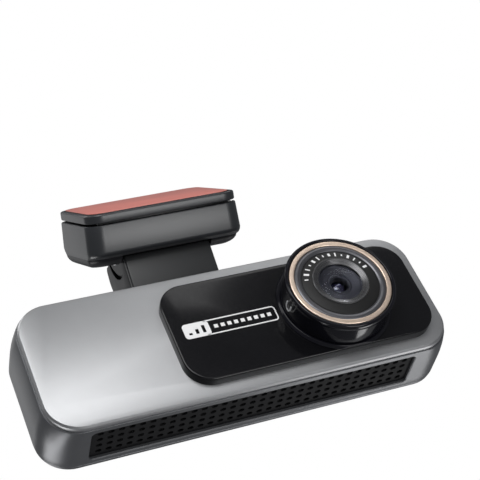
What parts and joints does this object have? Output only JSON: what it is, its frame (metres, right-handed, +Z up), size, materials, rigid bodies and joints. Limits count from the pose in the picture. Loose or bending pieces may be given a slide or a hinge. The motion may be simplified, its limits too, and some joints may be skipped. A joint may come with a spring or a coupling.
{
  "type": "dash camera",
  "caption": "Wide screenless dash camera with a proud turning lens drum, lower grille and a tilting, slide-off windscreen mount with adhesive pad.",
  "frame": {"origin": "centre of the adhesive face, which sticks to the windscreen", "axes": "+X along the camera's length, -Y towards the road where the lens looks, +Z up; the adhesive face slopes 45 degrees"},
  "size_m": [0.1026, 0.0328, 0.0725],
  "materials": {
    "silver_plate": "satin silver",
    "gunmetal": "fine matt",
    "gloss_black": "gloss",
    "matt_black": "matt",
    "mount_plastic": "satin",
    "liner_red": "release film",
    "foam": "closed cell foam",
    "champagne": "anodised champagne, turned",
    "bevel_grey": "anodised grey",
    "label_white": "printed white",
    "lens_glass": "coated",
    "iris_blue": "coated",
    "steel": "plain",
    "gold_contact": "plated",
    "board_green": "solder mask",
    "chip_black": "epoxy",
    "aluminium": "as extruded",
    "thermal": "silicone",
    "capacitor_sleeve": "shrink sleeve",
    "mesh_fabric": "woven",
    "ceramic_tan": null,
    "light_clear": "clear",
    "button_grey": "satin"
  },
  "bodies": {
    "base": {"liner_film": "liner_red", "foam_tape": "foam", "base_plate": "mount_plastic", "base_contacts": "gold_contact"},
    "block": {"block_shell": "mount_plastic", "rail_insert": "matt_black", "tilt_pin": "steel", "friction_washers": "steel", "gps_board": "board_green", "gps_antenna": "ceramic_tan", "contact_pins": "gold_contact"},
    "latch": {"release_key": "matt_black"},
    "camera": {"neck_core": "mount_plastic", "neck_cover": "gunmetal", "neck_screws": "steel", "front_plate": "silver_plate", "fascia": "gloss_black", "badge": "label_white", "lens_base_ring": "matt_black", "shell": "gunmetal", "rear_cover": "gunmetal", "cover_screws": "steel", "grille_panel": "matt_black", "dust_mesh": "mesh_fabric", "speaker": "matt_black", "main_board": "board_green", "processor": "chip_black", "memory_chips": "chip_black", "thermal_pad": "thermal", "heat_sink": "aluminium", "capacitors": "capacitor_sleeve", "wifi_antenna": "ceramic_tan", "microphone": "steel", "usb_socket": "steel", "jack_socket": "matt_black", "card_socket": "steel", "status_light": "light_clear", "button_switches": "steel"},
    "drum": {"drum_barrel": "gloss_black", "drum_retainer": "matt_black", "gold_ring": "champagne", "bevel_ring": "bevel_grey", "dial_ring": "matt_black", "dial_marks": "label_white", "inner_ring": "bevel_grey", "front_lens": "lens_glass", "lens_baffle": "matt_black", "iris_lens": "iris_blue", "lens_tube": "matt_black", "sensor_board": "board_green", "image_sensor": "chip_black", "index_mark": "bevel_grey"},
    "card": {"memory_card": "chip_black"},
    "record_key": {"record_button": "button_grey"},
    "event_key": {"event_button": "button_grey"}
  },
  "joints": [
    {"name": "release_slide", "type": "slide", "parent": "base", "child": "block", "axis": [-1, 0, 0], "range_m": [0, 0.038]},
    {"name": "latch_press", "type": "slide", "parent": "block", "child": "latch", "axis": [0, -0.7071, -0.7071], "range_m": [0, 0.0008], "stiffness_N_per_m": 1200, "springref_m": -0.0006},
    {"name": "tilt", "type": "hinge", "parent": "block", "child": "camera", "pos_m": [0, 0.00481, -0.00905], "axis": [1, 0, 0], "range_deg": [-5, 20]},
    {"name": "drum_turn", "type": "hinge", "parent": "camera", "child": "drum", "pos_m": [0.031, -0.0032, -0.0459], "axis": [0, -1, 0], "range_deg": [-15, 15]},
    {"name": "card_out", "type": "slide", "parent": "camera", "child": "card", "axis": [1, 0, 0], "range_m": [0, 0.018]},
    {"name": "record_press", "type": "slide", "parent": "camera", "child": "record_key", "axis": [0, -1, 0], "range_m": [0, 0.0005], "stiffness_N_per_m": 1500, "springref_m": -0.0005},
    {"name": "event_press", "type": "slide", "parent": "camera", "child": "event_key", "axis": [0, -1, 0], "range_m": [0, 0.0005], "stiffness_N_per_m": 1500, "springref_m": -0.0005}
  ]
}
